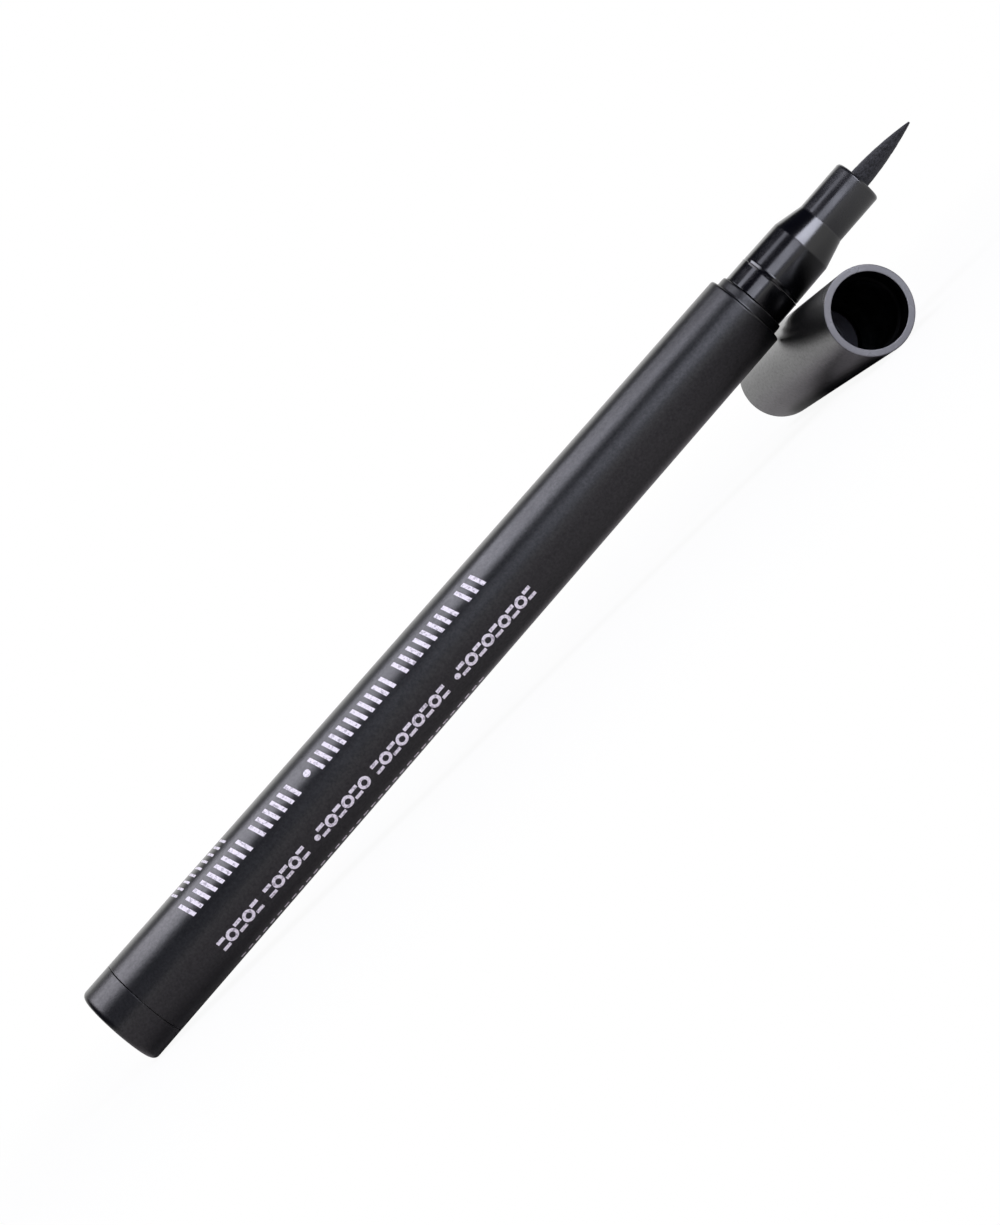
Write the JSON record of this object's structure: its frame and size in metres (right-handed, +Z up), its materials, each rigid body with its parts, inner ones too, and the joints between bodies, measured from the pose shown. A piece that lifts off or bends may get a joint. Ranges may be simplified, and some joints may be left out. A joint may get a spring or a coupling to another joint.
{
  "type": "liquid eyeliner pen",
  "caption": "Slim tapered liquid eyeliner pen with a felt tip, its round cap taken off and lying under the front of the barrel.",
  "frame": {"origin": "on the table, under the middle of the footprint of the pen and its cap", "axes": "+Z up from the table, +X along the pen towards the felt tip, +Y across the pen towards the cap's closed end"},
  "size_m": [0.1258, 0.0422, 0.0175],
  "materials": {
    "soft_black": "matt soft-touch coating",
    "gloss_black": "polished",
    "holder_black": "polished skirt and cone, satin nozzle",
    "felt": "ink-soaked pressed fibre",
    "fibre": "ink-soaked fibre bundle",
    "film": "thin clear film",
    "cap_soft_black": "matt soft-touch coating",
    "inner_grey": "satin moulded",
    "spring_steel": "drawn stainless wire"
  },
  "bodies": {
    "pen": {"barrel": "soft_black", "rear_plug": "soft_black", "neck": "gloss_black", "nib_holder": "holder_black", "felt_tip": "felt", "ink_reservoir": "fibre", "reservoir_film": "film"},
    "cap": {"cap_shell": "cap_soft_black", "inner_cap_spring": "spring_steel"},
    "inner_cap": {"inner_cap": "inner_grey"}
  },
  "joints": [
    {"name": "cap_draw", "type": "slide", "parent": "pen", "child": "cap", "axis": [-0.2079, 0.9781, -0.0049], "range_m": [0, 0.0265]},
    {"name": "inner_cap_travel", "type": "slide", "parent": "cap", "child": "inner_cap", "axis": [-0.2079, 0.9781, -0.0049], "range_m": [0, 0.0012], "stiffness_N_per_m": 400, "springref_m": -0.002, "deforming": ["inner_cap_spring"]}
  ]
}
